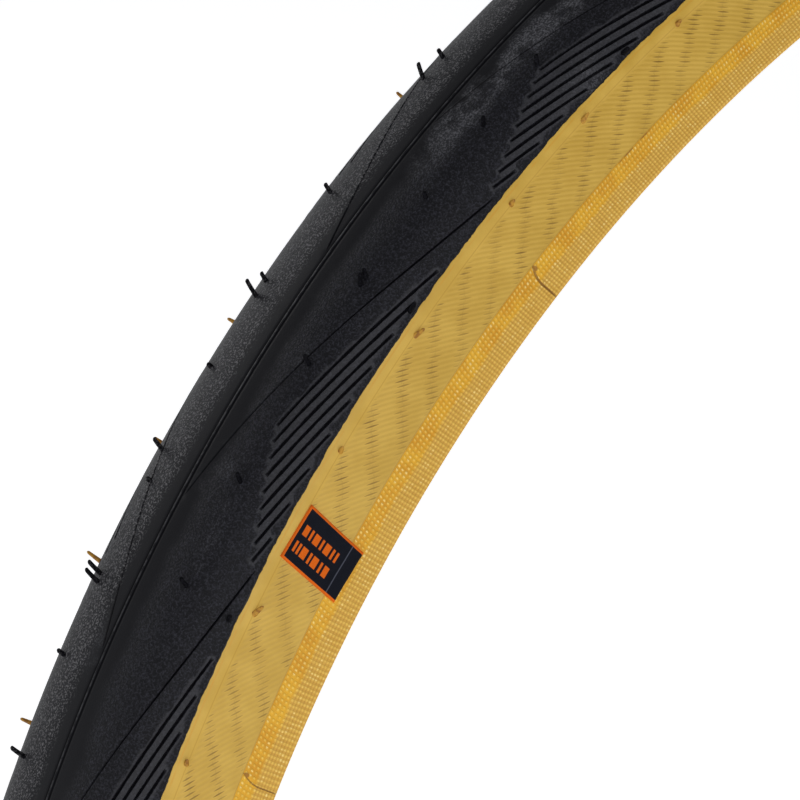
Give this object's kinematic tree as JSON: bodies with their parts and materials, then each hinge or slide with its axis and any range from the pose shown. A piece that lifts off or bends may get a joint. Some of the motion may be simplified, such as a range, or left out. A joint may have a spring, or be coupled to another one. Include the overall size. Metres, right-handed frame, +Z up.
{
  "type": "bicycle tire",
  "caption": "Slick all-round bicycle tire for a 622 mm rim: black grooved tread, tan side walls, woven bead chafers and folding beads.",
  "frame": {"origin": "centre of the ring, half way between its two beads", "axes": "+Y along the wheel's axis, away from the side with the label; +Z up in the plane of the wheel"},
  "size_m": [0.6794, 0.0622, 0.6794],
  "materials": {
    "tread_rubber": "matte black moulded rubber with fine shoulder grooves",
    "sidewall_rubber": "satin mustard tan rubber skin over visible casing cords",
    "chafer_gauze": "orange tan woven gauze set in thin rubber",
    "casing_nylon": "rubberised nylon cord, tan",
    "belt_nylon": "rubberised nylon belt, grey",
    "aramid_cord": "bundle of aramid cord, yellow",
    "label_cloth": "black woven tag with an orange edge"
  },
  "bodies": {
    "root": {"tread": "tread_rubber", "puncture_belt_outer": "belt_nylon", "puncture_belt_inner": "belt_nylon", "casing_ply": "casing_nylon", "bead_core_near": "aramid_cord", "bead_core_far": "aramid_cord", "sidewall_skin_near": "sidewall_rubber", "sidewall_skin_far": "sidewall_rubber", "chafer_strip_near": "chafer_gauze", "chafer_splice_near": "chafer_gauze", "chafer_strip_far": "chafer_gauze", "chafer_splice_far": "chafer_gauze", "bead_label": "label_cloth"}
  },
  "joints": []
}
